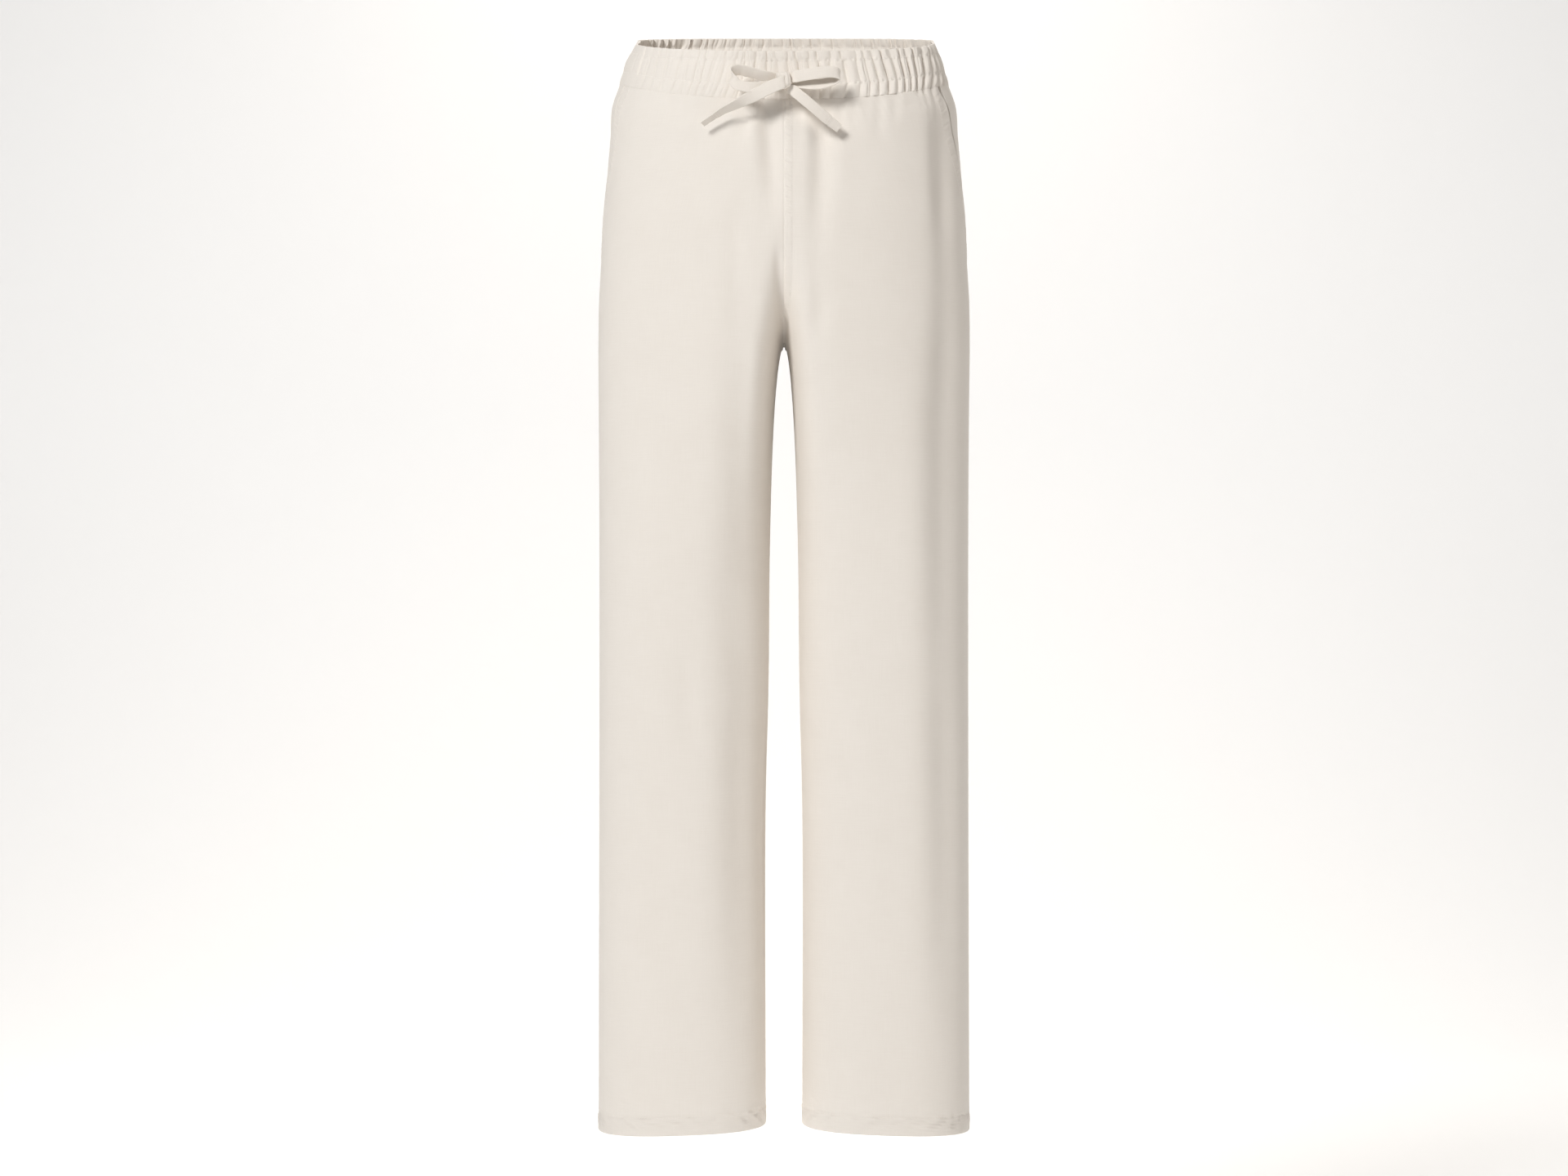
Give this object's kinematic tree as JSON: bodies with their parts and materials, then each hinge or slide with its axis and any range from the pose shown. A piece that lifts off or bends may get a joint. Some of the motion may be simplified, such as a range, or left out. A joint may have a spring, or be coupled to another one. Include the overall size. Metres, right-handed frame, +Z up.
{
  "type": "wide-leg drawstring trousers",
  "caption": "Wide-leg pull-on trousers in ecru twill, filled out and hollow, with a gathered elastic waistband, a flat tie in a bow, slanted side pockets and plain turned-up hems.",
  "frame": {"origin": "middle of the waist opening, level with the middle of the waistband at the side seams", "axes": "+Z up along the legs towards the waist, -Y towards the front of the garment, +X towards the wearer's left"},
  "size_m": [0.363, 0.2574, 1.0833],
  "materials": {
    "twill": "fine ecru cotton twill, soft and matte",
    "tie_twill": "flat sewn band of the same twill"
  },
  "bodies": {
    "root": {"front_left": "twill", "front_right": "twill", "back_left": "twill", "back_right": "twill", "pocket_bearer_left": "twill", "pocket_bearer_right": "twill", "waistband_front": "twill", "waistband_back": "twill", "tie_loop_left": "tie_twill", "tie_loop_right": "tie_twill", "tie_tail_left": "tie_twill", "tie_tail_right": "tie_twill", "tie_knot": "tie_twill"}
  },
  "joints": []
}
